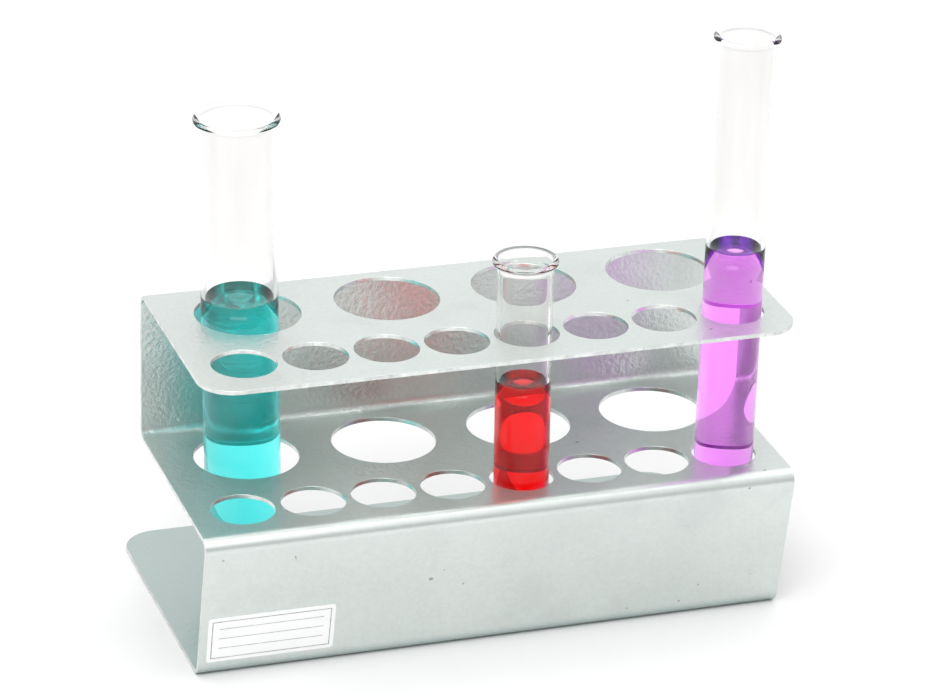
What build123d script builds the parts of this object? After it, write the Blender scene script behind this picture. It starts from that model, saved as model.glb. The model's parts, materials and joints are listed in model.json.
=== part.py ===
from build123d import *
import os
from math import atan2, tan

# Test tube rack bent from one aluminium sheet into an S, with three filled glass tubes.
# Millimetres. X runs along the rack, Y from its front to its back, +Z is up.
# The origin is under the base plate, at the middle of the rack's length and depth.

# Sheet
SHEET = 1.2                # thickness
LENGTH = 170.0             # along X
DEPTH = 95.0               # front bend to the base plate's rear edge
LOWER_TOP = 45.0           # height of the lower tier's top face
UPPER_TOP = 88.5           # height of the upper tier's top face
PANEL_SETBACK = 9.0        # how far the front panel's foot stands behind its top
REAR_FACE = 69.0           # front bend to the front face of the rear panel
UPPER_FRONT = 0.5          # front bend to the upper tier's front edge
BEND_INNER = 2.5           # radius on the inside of each bend
CORNER = 10.0              # rounded free corners of the base plate and the upper tier
FRONT_Y = -DEPTH / 2       # the front bend in the part's frame

# The front panel's face, carried on past the rounded front bend, meets the lower tier's
# top face in a sharp corner that stands a little in front of the bend itself.
BEND_OUTER = BEND_INNER + SHEET
PANEL_ANGLE = atan2(LOWER_TOP, PANEL_SETBACK)
BEND_REACH = BEND_OUTER / tan(PANEL_ANGLE / 2)   # from a sharp corner to where its bend ends
SHARP_FRONT_Y = FRONT_Y + BEND_OUTER - BEND_REACH

# Holes: the same pattern in both tiers, so each tube passes through a pair
SMALL_HOLE = 18.0
SMALL_COUNT = 8
SMALL_PITCH = 20.0
SMALL_ROW = 17.0           # front bend to the centres of the small holes
LARGE_HOLE = 29.5
LARGE_COUNT = 4
LARGE_PITCH = 40.0
LARGE_ROW = 49.0           # front bend to the centres of the large holes

# Label
LABEL_SIZE = (36.0, 15.0)  # along the panel, and up it
LABEL_THICKNESS = 0.2
LABEL_INSET = (2.2, 0.2)   # from the panel's left end, and up from its lower bend

# Tubes. Each stands loosely in its holes, so it may stand off their centres along X (foot)
# and lean towards -X (lean, degrees). The fill is the liquid's depth in the tube.
TUBE_LIFT = 0.3            # gap between a tube's bottom and the base plate
LIP_HEIGHT = 4.0           # length of the flare below the rim
BEAD = 0.9                 # radius of the fire-polished rim
LIQUID_GAP = 0.05          # between the liquid and the glass
TUBES = {
    "blue": {"row": "large", "hole": 0, "foot": -0.4, "lean": 1.4, "diameter": 21.4,
             "wall": 1.2, "length": 145.5, "rim": 23.8, "fill": 91.0},
    "red": {"row": "small", "hole": 4, "foot": 0.5, "lean": 0.9, "diameter": 15.4,
            "wall": 1.1, "length": 109.5, "rim": 18.2, "fill": 71.5},
    "violet": {"row": "small", "hole": 7, "foot": 0.0, "lean": 0.0, "diameter": 16.6,
               "wall": 1.1, "length": 168.5, "rim": 18.4, "fill": 105.0},
}


def row_places(row):
    """Centres of one row of holes in the part's frame."""
    count, pitch, offset = {
        "small": (SMALL_COUNT, SMALL_PITCH, SMALL_ROW),
        "large": (LARGE_COUNT, LARGE_PITCH, LARGE_ROW),
    }[row]
    first = -pitch * (count - 1) / 2
    return [(first + pitch * i, FRONT_Y + offset) for i in range(count)]


def sheet_face_line():
    """One face of the bent sheet, seen from the side: a line through the four bends.

    It runs under the base plate, up the front of the front panel, over the lower tier,
    up the front of the rear panel and forward under the upper tier.
    """
    corners = [
        (FRONT_Y + DEPTH, 0),
        (SHARP_FRONT_Y + PANEL_SETBACK, 0),
        (SHARP_FRONT_Y, LOWER_TOP),
        (FRONT_Y + REAR_FACE, LOWER_TOP),
        (FRONT_Y + REAR_FACE, UPPER_TOP - SHEET),
        (FRONT_Y + UPPER_FRONT, UPPER_TOP - SHEET),
    ]
    return FilletPolyline(*corners, radius=[BEND_OUTER, BEND_OUTER, BEND_INNER, BEND_INNER])


def bent_stretch(edges):
    """The sheet along some neighbouring edges of its face line, over the rack's length."""
    inner_side = Wire(edges).offset_2d(SHEET, side=Side.RIGHT)
    section = Plane.YZ.offset(-LENGTH / 2) * make_face(inner_side)
    return extrude(section, LENGTH, dir=(1, 0, 0))


def punch(tier):
    """Punch both rows of tube holes through a tier."""
    for row, size in (("small", SMALL_HOLE), ("large", LARGE_HOLE)):
        for x, y in row_places(row):
            tier -= Pos(x, y, tier.center().Z) * Cylinder(size / 2, 4 * SHEET)
    return tier


def round_free_corners(plate, at_max_y):
    """Round the two corners at a plate's free edge."""
    upright = plate.edges().filter_by(Axis.Z).sort_by(Axis.Y)
    return fillet(upright[-2:] if at_max_y else upright[:2], CORNER)


def rack():
    """The five stretches of the one sheet, which meet face to face beside its bends."""
    edges = sheet_face_line().edges()
    base, lower, upper = (bent_stretch(edges[i:i + 1]) for i in (0, 4, 8))
    return {
        "base_plate": round_free_corners(base, at_max_y=True),
        "front_panel": bent_stretch(edges[1:4]),
        "lower_tier": punch(lower),
        "rear_panel": bent_stretch(edges[5:8]),
        "upper_tier": punch(round_free_corners(upper, at_max_y=False)),
    }


def label():
    """A plain sticker on the front panel, in its lower left corner."""
    slope = Vector(0, -PANEL_SETBACK, LOWER_TOP).normalized()
    outward = Vector(0, -slope.Z, slope.Y)
    foot = Vector(-LENGTH / 2, SHARP_FRONT_Y + PANEL_SETBACK, 0)
    along = LABEL_INSET[0] + LABEL_SIZE[0] / 2
    up = BEND_REACH + LABEL_INSET[1] + LABEL_SIZE[1] / 2
    middle = foot + Vector(along, 0, 0) + slope * up + outward * (LABEL_THICKNESS / 2)
    place = Plane(origin=middle, x_dir=(1, 0, 0), z_dir=outward)
    return place * Box(*LABEL_SIZE, LABEL_THICKNESS)


def lathe(*outline):
    """Turn a closed outline in the XZ plane about Z."""
    return revolve(make_face(Wire(outline)), Axis.Z)


def test_tube(diameter, wall, length, rim):
    """A round-bottomed tube that stands on the origin, with a flared, beaded mouth."""
    outer = diameter / 2
    inner = outer - wall
    lip = length - LIP_HEIGHT
    rim_centre = rim / 2 - BEAD
    bead_z = length - BEAD
    diagonal = 0.5 ** 0.5

    def point(r, z):
        return Vector(r, 0, z)

    outline = [
        ThreePointArc(point(0, 0), point(outer * diagonal, outer * (1 - diagonal)),
                      point(outer, outer)),
        Line(point(outer, outer), point(outer, lip)),
        Line(point(outer, lip), point(rim / 2, bead_z)),
        ThreePointArc(point(rim / 2, bead_z), point(rim_centre, length),
                      point(rim_centre - BEAD, bead_z)),
        Line(point(rim_centre - BEAD, bead_z), point(inner, lip)),
        Line(point(inner, lip), point(inner, outer)),
        ThreePointArc(point(inner, outer), point(inner * diagonal, outer - inner * diagonal),
                      point(0, wall)),
        Line(point(0, wall), point(0, 0)),
    ]
    return lathe(*outline)


def liquid(diameter, wall, fill):
    """The liquid in a tube that stands on the origin, up to a flat surface."""
    outer = diameter / 2
    radius = outer - wall - LIQUID_GAP
    diagonal = 0.5 ** 0.5

    def point(r, z):
        return Vector(r, 0, z)

    outline = [
        ThreePointArc(point(0, outer - radius),
                      point(radius * diagonal, outer - radius * diagonal),
                      point(radius, outer)),
        Line(point(radius, outer), point(radius, fill)),
        Line(point(radius, fill), point(0, fill)),
        Line(point(0, fill), point(0, outer - radius)),
    ]
    return lathe(*outline)


def standing_place(tube):
    """Where a tube stands: in its hole, just over the base plate, leaning about its round end."""
    x, y = row_places(tube["row"])[tube["hole"]]
    radius = tube["diameter"] / 2
    round_end = Pos(x + tube["foot"], y, SHEET + TUBE_LIFT + radius)
    return round_end * Rot(0, -tube["lean"], 0) * Pos(0, 0, -radius)


parts = rack()
parts["label_plate"] = label()
for colour, tube in TUBES.items():
    place = standing_place(tube)
    glass = test_tube(tube["diameter"], tube["wall"], tube["length"], tube["rim"])
    parts[f"{colour}_tube"] = place * glass
    parts[f"{colour}_liquid"] = place * liquid(tube["diameter"], tube["wall"], tube["fill"])

os.makedirs("parts", exist_ok=True)
for name, shape in parts.items():
    shape.label = name
    export_step(shape, f"parts/{name}.step")
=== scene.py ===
"""Looks of the bent-sheet test tube rack with three filled glass tubes, built around its CAD frame."""
import json
from math import cos, exp, pi, radians, sin

import bmesh
import bpy
from mathutils import Matrix, Vector


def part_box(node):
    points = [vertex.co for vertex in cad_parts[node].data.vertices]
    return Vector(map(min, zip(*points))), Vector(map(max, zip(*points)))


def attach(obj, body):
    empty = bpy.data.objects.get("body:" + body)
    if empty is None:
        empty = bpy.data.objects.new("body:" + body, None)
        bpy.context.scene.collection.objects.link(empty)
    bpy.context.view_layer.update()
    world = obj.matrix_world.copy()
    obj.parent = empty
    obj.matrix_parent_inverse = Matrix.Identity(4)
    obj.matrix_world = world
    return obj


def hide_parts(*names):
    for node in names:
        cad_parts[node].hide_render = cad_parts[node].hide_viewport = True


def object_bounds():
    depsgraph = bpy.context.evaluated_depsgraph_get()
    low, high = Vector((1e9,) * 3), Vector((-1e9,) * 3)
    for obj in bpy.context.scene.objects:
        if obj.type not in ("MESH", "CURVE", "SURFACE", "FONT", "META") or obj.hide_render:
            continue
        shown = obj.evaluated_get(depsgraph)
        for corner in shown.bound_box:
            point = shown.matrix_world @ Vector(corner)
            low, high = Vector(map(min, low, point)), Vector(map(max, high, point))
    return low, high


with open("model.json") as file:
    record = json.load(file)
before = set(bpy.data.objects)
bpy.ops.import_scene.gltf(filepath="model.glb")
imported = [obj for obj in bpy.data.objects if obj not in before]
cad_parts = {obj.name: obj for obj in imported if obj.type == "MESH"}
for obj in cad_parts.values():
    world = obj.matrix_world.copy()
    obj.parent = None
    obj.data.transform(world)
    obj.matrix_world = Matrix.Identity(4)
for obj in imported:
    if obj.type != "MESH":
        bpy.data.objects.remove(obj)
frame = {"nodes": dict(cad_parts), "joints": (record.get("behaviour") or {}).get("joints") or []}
cad_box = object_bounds()
nodes = frame["nodes"]
MM = 0.001

# Camera: where it stands and how it looks at the rack
AZIMUTH = radians(-19.08)
ELEVATION = radians(24.56)
ROLL = radians(1.89)
CAMERA_PLACE = Vector((-0.36799, -1.07819, 0.58912))
LENS_MM = 172.65
SHIFT = (-0.0057, 0.0096)

# The tent's brightness on the camera's side and on its lit side, behind and above the rack
TENT_FRONT, TENT_BACK = 0.42, 1.0
TENT_LIT_SIDE = (0.33, 0.94, 1.3)
TENT_FADE = (-0.7, 0.7)         # how far towards the lit side it starts to brighten, and is full

FLOOR_REACH = 6.0               # half the floor's side
FLOOR_GAP = 0.1 * MM            # between the rack's underside and the floor
LIGHT_BOUNCES = 96              # fewer leave the rims and the liquids' surfaces black

# The sheet
FLAT_NODES = ("base_plate", "lower_tier", "upper_tier")
RACK_NODES = ("base_plate", "front_panel", "lower_tier", "rear_panel", "upper_tier")
FRONT_BEND = (0.0, cad_box[0][1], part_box("lower_tier")[1].z)
BEND_PAINTED_HIGHLIGHT = (2 * MM, 25 * MM)   # from the front bend: where its painted highlight starts to fade, and its end
PRESSED = (3 * MM, 12 * MM)     # from the front bend: where the pebbling starts, and is full
FOOT_PAINTED_SHADE = (1.5 * MM, 4 * MM)  # heights between which the painted shade at the sheet's foot, under the lower tier, fades out
EDGE_BREAK = 0.16 * MM          # deburred edges
NEAR = 0.002 * MM               # points or planes nearer than this are the same

# The tubes: what the frame doesn't say
TUBE_WALL = {"blue": 1.2 * MM, "red": 1.1 * MM, "violet": 1.1 * MM}
LIQUID_GAP = 0.05 * MM          # between the CAD liquid and the CAD glass
LIQUID_BITE = 0.08 * MM         # how far the liquid's skin lies inside the glass
LIP_HEIGHT = 4.0 * MM           # of the mouth's flare and bead together
FLARE_POWER = 2.2               # how late the flare opens
BEAD = 0.9 * MM                 # radius of the fire-polished rim
BEAD_JOIN = 0.15 * MM           # how far the flare runs in under the bead
MENISCUS_RISE = 1.7 * MM        # at the wall
MENISCUS_REACH = 2.2 * MM       # over which the meniscus dies away from the wall
FILM_FADE = 12 * MM             # above the liquid, over which the dry film comes in
NECK_FADE = 2 * MM              # each side of the neck, over which the film thins
WET_EDGE = 1 * MM               # above the liquid, over which the wetting ends

# The label
LABEL_CORNER = 0.8 * MM         # radius of its corners
LABEL_EDGE = 0.05 * MM          # its softened outer edge
LABEL_MARGIN = 1.1 * MM         # from its edge to the printed border
LABEL_BORDER = 0.28 * MM        # thickness of the printed border
RULE_MARGIN = 3.2 * MM          # from its sides to the writing lines
RULE_THICKNESS = 0.2 * MM
RULE_HEIGHTS = (0.30, 0.52, 0.74)   # of the writing lines, as shares of the label's height

# What the liquids absorb of red, green and blue, per metre
LIQUID_ABSORBS = {"blue": (116.0, 5.5, 6.0), "red": (3.0, 480.0, 440.0), "violet": (6.0, 82.0, 0.3)}

WHITE = (1.0, 1.0, 1.0, 1.0)
ROUND = 128                     # steps around a lathed piece
BOTTOM_STEPS = 24               # along a round bottom, from its lowest point to the wall
WALL_STEPS = 6
FLARE_STEPS = 14
BEAD_STEPS = 24
MENISCUS_STEPS = 26
MENISCUS_CROWDING = 1.6         # how strongly its steps crowd towards the wall


# ---------------------------------------------------------------- node helpers

def new_material(name):
    """A node material with only its output, and its node tree."""
    material = bpy.data.materials.new(name)
    material.use_nodes = True
    tree = material.node_tree
    tree.nodes.clear()
    tree.nodes.new("ShaderNodeOutputMaterial")
    return material, tree


def feed(tree, socket, value):
    """Link an input socket to an output socket, or set it to a plain value."""
    if isinstance(value, bpy.types.NodeSocket):
        tree.links.new(value, socket)
    else:
        socket.default_value = value


def add(tree, kind, inputs=None, **settings):
    """A node with its settings and its inputs, each a socket or a plain value."""
    node = tree.nodes.new(kind)
    for key, value in settings.items():
        setattr(node, key, value)
    for key, value in (inputs or {}).items():
        feed(tree, node.inputs[key], value)
    return node


def finish_material(tree, surface, volume=None):
    """Connect a surface, and a volume where there is one, to the material's output."""
    output = tree.nodes["Material Output"]
    tree.links.new(surface, output.inputs["Surface"])
    if volume is not None:
        tree.links.new(volume, output.inputs["Volume"])


def object_place(tree):
    """Where a point of a piece lies in the shared frame when the rack is at rest."""
    return add(tree, "ShaderNodeTexCoord").outputs["Object"]


def noise(tree, scale, detail=4.0, roughness=0.5, stretch=(1.0, 1.0, 1.0)):
    """Noise fixed to the piece; scale is per metre, and a stretch under 1 draws it out along an axis."""
    mapped = add(tree, "ShaderNodeMapping", {"Vector": object_place(tree), "Scale": stretch})
    return add(tree, "ShaderNodeTexNoise", {
        "Vector": mapped.outputs["Vector"], "Scale": scale, "Detail": detail,
        "Roughness": roughness}).outputs["Fac"]


def remap(tree, value, low, high, to_low, to_high):
    """A value's range from low to high turned into another range, and held at its ends."""
    return add(tree, "ShaderNodeMapRange", {
        "Value": value, "From Min": low, "From Max": high,
        "To Min": to_low, "To Max": to_high}).outputs["Result"]


def mix_colour(tree, factor, first, second):
    """The first colour where the factor is 0, the second where it is 1."""
    node = add(tree, "ShaderNodeMix", data_type="RGBA")
    factor_socket, first_socket, second_socket = node.inputs[0], node.inputs[6], node.inputs[7]
    feed(tree, factor_socket, factor)
    feed(tree, first_socket, first)
    feed(tree, second_socket, second)
    return node.outputs[2]


def maths(tree, operation, first, second):
    """The result of a sum, product or comparison."""
    return add(tree, "ShaderNodeMath", {0: first, 1: second}, operation=operation).outputs[0]


def bump(tree, height, strength, distance, below=None):
    """The normal over a height, which may lie on top of another bump's normal."""
    inputs = {"Height": height, "Strength": strength, "Distance": distance}
    if below is not None:
        inputs["Normal"] = below
    return add(tree, "ShaderNodeBump", inputs).outputs["Normal"]


# ---------------------------------------------------------------- materials

def sheet_aluminium():
    """Satin aluminium: pale grey, finely pebbled, faintly rolled along its length, a little marked, with
    a painted highlight along the front bend and painted shade at its foot.
    """
    material, tree = new_material("sheet_aluminium")
    clouds = noise(tree, 26, 3, 0.5)
    handled = noise(tree, 60, 2, 0.45)
    rolling = noise(tree, 260, 4, 0.6, stretch=(0.06, 1.0, 1.0))
    pebble = noise(tree, 700, 2, 0.55)
    nicks = noise(tree, 330, 1, 0.4)
    section = add(tree, "ShaderNodeVectorMath", {0: object_place(tree), 1: (0.0, 1.0, 1.0)},
                  operation="MULTIPLY").outputs["Vector"]
    from_bend = add(tree, "ShaderNodeVectorMath", {0: section, 1: FRONT_BEND},
                    operation="DISTANCE").outputs["Value"]
    height = add(tree, "ShaderNodeSeparateXYZ", {"Vector": section}).outputs["Z"]

    base = mix_colour(tree, remap(tree, clouds, 0.35, 0.7, 0.0, 0.7),
                      (0.690, 0.738, 0.714, 1.0), (0.620, 0.668, 0.646, 1.0))
    base = mix_colour(tree, remap(tree, handled, 0.55, 0.75, 0.0, 0.35), base, (0.52, 0.56, 0.548, 1.0))
    base = mix_colour(tree, remap(tree, pebble, 0.35, 0.62, 0.12, 0.0), base, (0.45, 0.48, 0.47, 1.0))
    base = mix_colour(tree, remap(tree, nicks, 0.785, 0.81, 0.0, 0.7), base, (0.20, 0.21, 0.205, 1.0))
    # painted highlight: the base colour is lightened towards near-white close to the front bend, fading
    # out over the given band
    base = mix_colour(tree, remap(tree, from_bend, *BEND_PAINTED_HIGHLIGHT, 0.08, 0.0), base, (0.93, 0.95, 0.93, 1.0))
    # painted shade: the base colour is darkened and greened at the sheet's foot, standing in for the
    # shade under the lower tier, fading out between the given heights
    base = mix_colour(tree, remap(tree, height, *FOOT_PAINTED_SHADE, 0.8, 0.0), base, (0.40, 0.49, 0.475, 1.0))
    gloss = maths(tree, "ADD", remap(tree, clouds, 0.3, 0.7, 0.29, 0.34),
                  remap(tree, handled, 0.5, 0.8, 0.0, 0.06))
    rolled = bump(tree, rolling, 0.12, 0.2 * MM)
    pebbled = bump(tree, pebble, remap(tree, from_bend, *PRESSED, 0.1, 0.9), 0.22 * MM, below=rolled)
    shader = add(tree, "ShaderNodeBsdfPrincipled", {
        "Base Color": base, "Metallic": 0.78, "Roughness": gloss, "Normal": pebbled})
    finish_material(tree, shader.outputs["BSDF"])
    return material


def sheared_edge():
    """The sheet's cut edges and hole walls: brighter, with the fine upright marks of the punch."""
    material, tree = new_material("sheared_edge")
    marks = noise(tree, 1500, 3, 0.6, stretch=(1.0, 1.0, 0.12))
    blotches = noise(tree, 300, 4, 0.6)
    base = mix_colour(tree, remap(tree, blotches, 0.35, 0.7, 0.0, 0.8),
                      (0.80, 0.83, 0.81, 1.0), (0.52, 0.55, 0.54, 1.0))
    base = mix_colour(tree, remap(tree, marks, 0.66, 0.74, 0.0, 0.7), base, (0.30, 0.31, 0.30, 1.0))
    shader = add(tree, "ShaderNodeBsdfPrincipled", {
        "Base Color": base, "Metallic": 1.0, "Normal": bump(tree, marks, 0.35, 0.15 * MM),
        "Roughness": remap(tree, blotches, 0.3, 0.7, 0.28, 0.42)})
    finish_material(tree, shader.outputs["BSDF"])
    return material


def tube_glass(name, level, neck):
    """Clear drawn glass with slight draw lines, wetted up to a level.

    Above the level a dry film comes in, which is thinner over the neck's flare and bead.
    """
    material, tree = new_material(name)
    height = add(tree, "ShaderNodeSeparateXYZ", {"Vector": object_place(tree)}).outputs["Z"]
    draw_lines = noise(tree, 220, 2, 0.4, stretch=(1.0, 1.0, 0.05))
    dust = noise(tree, 130, 5, 0.6)
    streaks = noise(tree, 160, 3, 0.5, stretch=(1.0, 1.0, 0.12))
    clear = mix_colour(tree, remap(tree, dust, 0.4, 0.75, 0.0, 1.0), WHITE, (0.994, 0.996, 0.994, 1.0))
    filmed = mix_colour(tree, remap(tree, streaks, 0.4, 0.7, 0.0, 1.0),
                        (0.960, 0.956, 0.950, 1.0), (0.925, 0.917, 0.908, 1.0))
    dry = maths(tree, "MULTIPLY", remap(tree, height, level, level + FILM_FADE, 0.0, 1.0),
                remap(tree, height, neck - NECK_FADE, neck + NECK_FADE, 1.0, 0.6))
    wet = remap(tree, height, level, level + WET_EDGE, 1.0, 0.0)
    shader = add(tree, "ShaderNodeBsdfPrincipled", {
        "Base Color": mix_colour(tree, dry, clear, filmed),
        "Roughness": remap(tree, dust, 0.5, 0.8, 0.0, 0.03), "IOR": 1.28,
        "Specular Tint": mix_colour(tree, wet, WHITE, (0.45, 0.45, 0.45, 1.0)),
        "Transmission Weight": 1.0, "Normal": bump(tree, draw_lines, 0.05, 0.1 * MM)})
    finish_material(tree, shader.outputs["BSDF"])
    return material


def coloured_liquid(name, absorbed_per_metre):
    """Clear coloured water. What it absorbs of red, green and blue in a metre gives its colour."""
    material, tree = new_material(name)
    ripples = noise(tree, 160, 2, 0.5)
    cloud = noise(tree, 90, 3, 0.5)
    shader = add(tree, "ShaderNodeBsdfPrincipled", {
        "Base Color": mix_colour(tree, cloud, WHITE, (0.997, 0.998, 0.998, 1.0)),
        "Roughness": 0.0, "IOR": 1.333, "Specular Tint": (0.8, 0.8, 0.8, 1.0),
        "Transmission Weight": 1.0, "Normal": bump(tree, ripples, 0.03, 0.1 * MM)})
    density = max(absorbed_per_metre)
    colour = [1.0 - value / density for value in absorbed_per_metre] + [1.0]
    volume = add(tree, "ShaderNodeVolumeAbsorption", {"Color": colour, "Density": density})
    finish_material(tree, shader.outputs["BSDF"], volume.outputs["Volume"])
    return material


def band(tree, value, start, end):
    """1 where a coordinate lies between two values, else 0."""
    return maths(tree, "MULTIPLY", maths(tree, "GREATER_THAN", value, start),
                 maths(tree, "LESS_THAN", value, end))


def label_paper(left, foot, width, rise):
    """White coated paper printed with a thin border and three writing lines, nothing else."""
    material, tree = new_material("label_paper")
    place = add(tree, "ShaderNodeSeparateXYZ", {"Vector": object_place(tree)})
    x, z = place.outputs["X"], place.outputs["Z"]

    def rectangle(inset):
        return maths(tree, "MULTIPLY", band(tree, x, left + inset, left + width - inset),
                     band(tree, z, foot + inset, foot + rise - inset))

    ink = maths(tree, "SUBTRACT", rectangle(LABEL_MARGIN), rectangle(LABEL_MARGIN + LABEL_BORDER))
    for share in RULE_HEIGHTS:
        height = foot + rise * share
        rule = maths(tree, "MULTIPLY", band(tree, x, left + RULE_MARGIN, left + width - RULE_MARGIN),
                     band(tree, z, height, height + RULE_THICKNESS))
        ink = maths(tree, "MAXIMUM", ink, rule)
    fibres = noise(tree, 900, 4, 0.6, stretch=(0.4, 1.0, 1.0))
    handled = noise(tree, 110, 3, 0.5)
    paper = mix_colour(tree, remap(tree, handled, 0.45, 0.75, 0.0, 1.0),
                       (0.93, 0.935, 0.93, 1.0), (0.87, 0.875, 0.865, 1.0))
    worn = maths(tree, "MULTIPLY", ink, remap(tree, fibres, 0.3, 0.6, 0.55, 0.9))
    shader = add(tree, "ShaderNodeBsdfPrincipled", {
        "Base Color": mix_colour(tree, worn, paper, (0.16, 0.18, 0.19, 1.0)),
        "Roughness": remap(tree, fibres, 0.3, 0.7, 0.38, 0.5),
        "Normal": bump(tree, fibres, 0.15, 0.06 * MM)})
    finish_material(tree, shader.outputs["BSDF"])
    return material


# ---------------------------------------------------------------- pieces

def link(obj, body, slot, *replaced):
    """Put a finished piece in the scene, on its body, in place of its CAD nodes."""
    bpy.context.scene.collection.objects.link(obj)
    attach(obj, body)
    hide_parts(*replaced)
    return obj


def piece_from(mesh, name, *materials):
    """An object made of a finished bmesh, which is freed."""
    data = bpy.data.meshes.new(name)
    mesh.to_mesh(data)
    mesh.free()
    for material in materials:
        data.materials.append(material)
    return bpy.data.objects.new(name, data)


def is_cut_face(face, flats):
    """Whether a face belongs to the sheet's cut edge: an end, a free edge or a hole's wall."""
    if abs(face.normal.x) > 0.999:
        return True
    centre = face.calc_center_median()
    slack = 0.01 * MM
    inside = any(low.z - slack < centre.z < high.z + slack and
                 low.y - slack < centre.y < high.y + slack for low, high in flats)
    return inside and abs(face.normal.z) < 0.5


def rack_sheet():
    """The five CAD stretches joined back into one sheet, with its edges broken."""
    mesh = bmesh.new()
    for name in RACK_NODES:
        mesh.from_mesh(nodes[name].data)
    bmesh.ops.remove_doubles(mesh, verts=mesh.verts, dist=NEAR)
    flats = [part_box(name) for name in FLAT_NODES]
    base, lower, upper = flats
    seam_places = (base[0].y, lower[0].y, lower[1].y, upper[1].y)
    seams = [face for face in mesh.faces if abs(face.normal.y) > 0.999 and any(
        abs(face.calc_center_median().y - y) < NEAR for y in seam_places)]
    bmesh.ops.delete(mesh, geom=seams, context="FACES_ONLY")
    bmesh.ops.remove_doubles(mesh, verts=mesh.verts, dist=NEAR)
    bmesh.ops.dissolve_limit(mesh, angle_limit=radians(0.4), verts=mesh.verts, edges=mesh.edges)
    for face in mesh.faces:
        face.smooth = True
        face.material_index = 1 if is_cut_face(face, flats) else 0
    piece = piece_from(mesh, "rack_sheet", sheet_aluminium(), sheared_edge())
    edges = piece.modifiers.new("broken_edges", "BEVEL")
    edges.width = EDGE_BREAK
    edges.segments = 2
    edges.limit_method = "ANGLE"
    edges.angle_limit = radians(40)
    shading = piece.modifiers.new("flat_shading", "WEIGHTED_NORMAL")
    shading.weight = 100
    shading.keep_sharp = True
    return link(piece, "rack", "rack_aluminium", *RACK_NODES)


def lathe(name, outline, place, material):
    """Turn an open outline of (radius, height) points about the local Z axis."""
    mesh = bmesh.new()
    rings = []
    for radius, height in outline:
        if radius < NEAR:
            rings.append([mesh.verts.new((0.0, 0.0, height))])
            continue
        rings.append([mesh.verts.new((radius * cos(2 * pi * i / ROUND),
                                      radius * sin(2 * pi * i / ROUND), height)) for i in range(ROUND)])
    for lower, upper in zip(rings, rings[1:]):
        for i in range(ROUND):
            corners = []
            for ring, at in ((lower, i), (lower, i + 1), (upper, i + 1), (upper, i)):
                vertex = ring[at % len(ring)]
                if vertex not in corners:
                    corners.append(vertex)
            mesh.faces.new(corners).smooth = True
    bmesh.ops.recalc_face_normals(mesh, faces=mesh.faces)
    mesh.transform(place)
    return piece_from(mesh, name, material)


def arc(centre, radius, start, end, steps):
    """Points on an arc, with its angles in degrees from the first axis.

    No point goes below 0 on that axis, so that an arc can end on a lathed piece's centre line.
    """
    angles = [radians(start + (end - start) * i / steps) for i in range(steps + 1)]
    return [(max(0.0, centre[0] + radius * cos(a)), centre[1] + radius * sin(a)) for a in angles]


class Tube:
    """One tube's sizes and place, read from its CAD nodes and its joint."""

    def __init__(self, colour):
        self.colour = colour
        self.body = f"{colour}_tube"
        joint = next(j for j in frame["joints"] if j["child"] == self.body)
        self.axis = Vector(joint["axis"]).normalized()
        low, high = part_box(f"{colour}_liquid")
        glass_low, glass_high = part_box(f"{colour}_tube")
        liquid_radius = (high.y - low.y) / 2
        self.inner = liquid_radius + LIQUID_GAP
        self.outer = self.inner + TUBE_WALL[colour]
        self.rim = (glass_high.y - glass_low.y) / 2
        self.centre = Vector((high.x - liquid_radius, (low.y + high.y) / 2, low.z + liquid_radius))
        lean = abs(self.axis.x)
        self.height = (glass_high.z - self.centre.z - self.rim * lean) / self.axis.z
        self.fill = (high.z - self.centre.z - liquid_radius * lean) / self.axis.z
        turn = Vector((0, 0, 1)).rotation_difference(self.axis).to_matrix().to_4x4()
        self.place = Matrix.Translation(self.centre) @ turn

    def glass(self, material):
        """Round bottom, straight wall, and a mouth that flares into a fire-polished bead."""
        lip = self.height - LIP_HEIGHT
        flare = LIP_HEIGHT - 2 * BEAD
        neck_out = self.rim - BEAD_JOIN - BEAD / 2
        neck_in = self.rim - 2 * BEAD + BEAD_JOIN
        shares = [i / FLARE_STEPS for i in range(1, FLARE_STEPS + 1)]
        outside = arc((0, 0), self.outer, -90, 0, BOTTOM_STEPS)
        outside += [(self.outer, lip * i / WALL_STEPS) for i in range(1, WALL_STEPS + 1)]
        outside += [(self.outer + (neck_out - self.outer) * t ** FLARE_POWER, lip + flare * t)
                    for t in shares]
        bead = arc((self.rim - BEAD, self.height - BEAD), BEAD, -50, 180, BEAD_STEPS)
        inner_flare = flare + BEAD * 0.8      # it goes on up to the bead's middle
        inside = [(self.inner + (neck_in - self.inner) * t ** FLARE_POWER, lip + inner_flare * t)
                  for t in reversed(shares[:-1])]
        inside += [(self.inner, lip * i / WALL_STEPS) for i in range(WALL_STEPS, 0, -1)]
        inside += arc((0, 0), self.inner, 0, -90, BOTTOM_STEPS)
        return lathe(f"{self.colour}_glass", outside + bead + inside, self.place, material)

    def liquid(self, material):
        """The liquid, whose skin bites a little into the glass, with its meniscus."""
        skin = self.inner + LIQUID_BITE
        outline = arc((0, 0), skin, -90, 0, BOTTOM_STEPS)
        top = self.fill + MENISCUS_RISE
        outline += [(skin, top * i / (2 * WALL_STEPS)) for i in range(1, 2 * WALL_STEPS + 1)]
        for i in range(MENISCUS_STEPS + 1):
            radius = self.inner * (1 - (i / MENISCUS_STEPS) ** MENISCUS_CROWDING)
            rise = MENISCUS_RISE * exp(-(self.inner - radius) / MENISCUS_REACH)
            outline.append((radius, self.fill + rise))
        return lathe(f"{self.colour}_water", outline, self.place, material)


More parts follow.
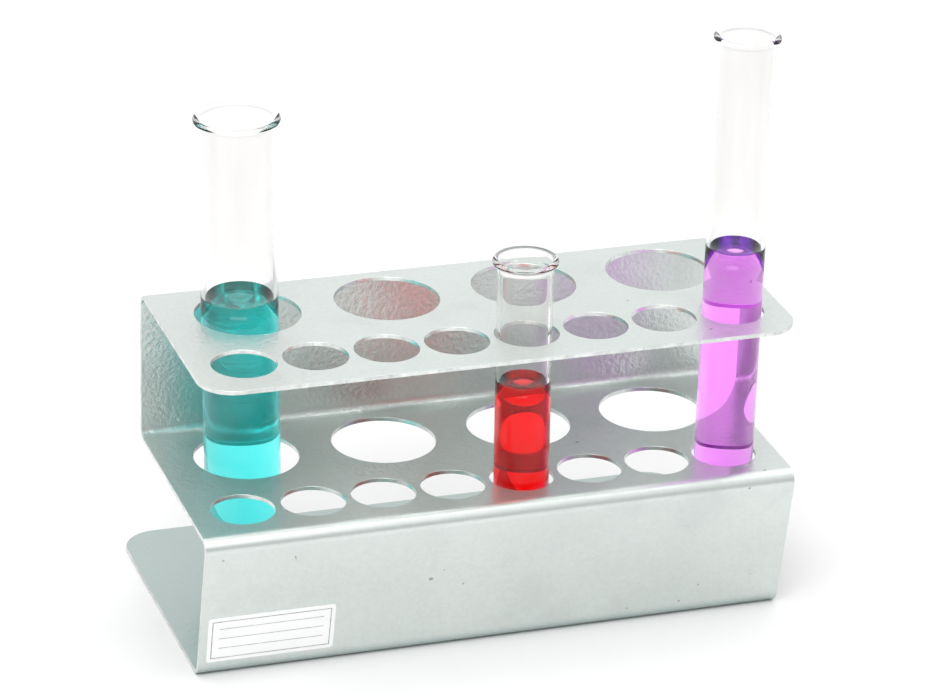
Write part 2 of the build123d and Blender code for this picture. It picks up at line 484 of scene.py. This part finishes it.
def label_sheet():
    """A thin sticker with rounded corners, laid where the CAD label lies."""
    corners = [v.co.copy() for v in nodes["label_plate"].data.vertices]
    left = min(c.x for c in corners)
    width = max(c.x for c in corners) - left
    end = [c for c in corners if c.x < left + NEAR]
    outer_foot = min(end, key=lambda c: c.z)     # the panel leans forward
    edges = [c - outer_foot for c in end]
    inward = min((edge for edge in edges if edge.length > NEAR), key=lambda edge: edge.length)
    rise = max(edges, key=lambda edge: edge.length) - inward
    foot = outer_foot + inward
    across, upward, outward = Vector((1, 0, 0)), rise.normalized(), -inward.normalized()
    height, thickness = rise.length, inward.length

    mesh = bmesh.new()
    rings = []
    for inset, lift in ((0.0, 0.0), (0.0, thickness - LABEL_EDGE), (LABEL_EDGE, thickness)):
        ring = []
        for right, top, start in ((1, 0, -90), (1, 1, 0), (0, 1, 90), (0, 0, 180)):
            middle_x = width - LABEL_CORNER if right else LABEL_CORNER
            middle_y = height - LABEL_CORNER if top else LABEL_CORNER
            for x, y in arc((middle_x, middle_y), LABEL_CORNER - inset, start, start + 90, 8):
                ring.append(mesh.verts.new(foot + across * x + upward * y + outward * lift))
        rings.append(ring)
    for lower, upper in zip(rings, rings[1:]):
        for i in range(len(lower)):
            j = (i + 1) % len(lower)
            mesh.faces.new((lower[i], lower[j], upper[j], upper[i]))
    mesh.faces.new(reversed(rings[0]))
    mesh.faces.new(rings[-1])
    bmesh.ops.recalc_face_normals(mesh, faces=mesh.faces)
    paper = label_paper(foot.x, foot.z, width, rise.z)
    return link(piece_from(mesh, "label_sheet", paper), "rack", "label_white", "label_plate")


def build_tubes():
    """Each tube's glass and liquid, on the tube's own body."""
    for colour, per_metre in LIQUID_ABSORBS.items():
        tube = Tube(colour)
        level = (tube.place @ Vector((0, 0, tube.fill + MENISCUS_RISE))).z
        neck = (tube.place @ Vector((0, 0, tube.height - LIP_HEIGHT))).z
        glass = tube_glass(f"{colour}_tube_glass", level, neck)
        link(tube.glass(glass), tube.body, "tube_glass", f"{colour}_tube")
        water = tube.liquid(coloured_liquid(f"{colour}_water", per_metre))
        link(water, tube.body, f"liquid_{colour}", f"{colour}_liquid")


# ---------------------------------------------------------------- stage

def camera():
    """A long lens in front of the rack, above it and a little to its left."""
    data = bpy.data.cameras.new("camera")
    data.lens = LENS_MM
    data.sensor_width = 36.0
    data.shift_x, data.shift_y = SHIFT
    data.clip_end = 20.0
    obj = bpy.data.objects.new("camera", data)
    bpy.context.scene.collection.objects.link(obj)
    turn = Matrix.Rotation(AZIMUTH, 4, "Z") @ Matrix.Rotation(pi / 2 - ELEVATION, 4, "X")
    obj.matrix_world = Matrix.Translation(CAMERA_PLACE) @ turn @ Matrix.Rotation(ROLL, 4, "Z")
    bpy.context.scene.camera = obj


def area_light(name, place, target, size, watts):
    """A soft rectangular light at a place, turned to its target."""
    data = bpy.data.lights.new(name, "AREA")
    data.shape = "RECTANGLE"
    data.size, data.size_y = size
    data.energy = watts
    obj = bpy.data.objects.new(name, data)
    bpy.context.scene.collection.objects.link(obj)
    obj.location = place
    obj.rotation_euler = (Vector(target) - Vector(place)).to_track_quat("-Z", "Y").to_euler()


def tent():
    """A white tent, brighter behind and above the rack than on the camera's side."""
    world = bpy.data.worlds.new("tent")
    bpy.context.scene.world = world
    world.use_nodes = True
    tree = world.node_tree
    direction = add(tree, "ShaderNodeTexCoord").outputs["Generated"]
    lit_side = add(tree, "ShaderNodeVectorMath", {0: direction, 1: TENT_LIT_SIDE},
                   operation="DOT_PRODUCT").outputs["Value"]
    background = tree.nodes["Background"]
    background.inputs["Color"].default_value = WHITE
    feed(tree, background.inputs["Strength"],
         remap(tree, lit_side, *TENT_FADE, TENT_FRONT, TENT_BACK))


def floor():
    """A plain pale floor, just under the rack."""
    material, tree = new_material("pale_floor")
    shade = mix_colour(tree, noise(tree, 40, 3, 0.5), (0.80, 0.80, 0.80, 1.0), (0.82, 0.82, 0.82, 1.0))
    shader = add(tree, "ShaderNodeBsdfPrincipled", {"Base Color": shade, "Roughness": 0.9})
    finish_material(tree, shader.outputs["BSDF"])
    mesh = bmesh.new()
    bmesh.ops.create_grid(mesh, x_segments=1, y_segments=1, size=FLOOR_REACH)
    ground = piece_from(mesh, "floor", material)
    ground.location.z = -FLOOR_GAP
    bpy.context.scene.collection.objects.link(ground)


def studio():
    """The tent, two soft lights, the floor, and light paths long enough for glass in glass."""
    tent()
    area_light("overhead", place=(0.0, 0.1, 1.2), target=(0, 0, 0), size=(1.2, 1.2), watts=5.0)
    area_light("key", place=(-0.35, -0.75, 0.95), target=(0, 0, 0.05), size=(0.9, 0.4), watts=6.2)
    bpy.context.scene.view_settings.view_transform = "Standard"
    cycles = bpy.context.scene.cycles
    cycles.max_bounces = cycles.transmission_bounces = cycles.glossy_bounces = LIGHT_BOUNCES
    floor()


camera()
studio()
rack_sheet()
label_sheet()
build_tubes()
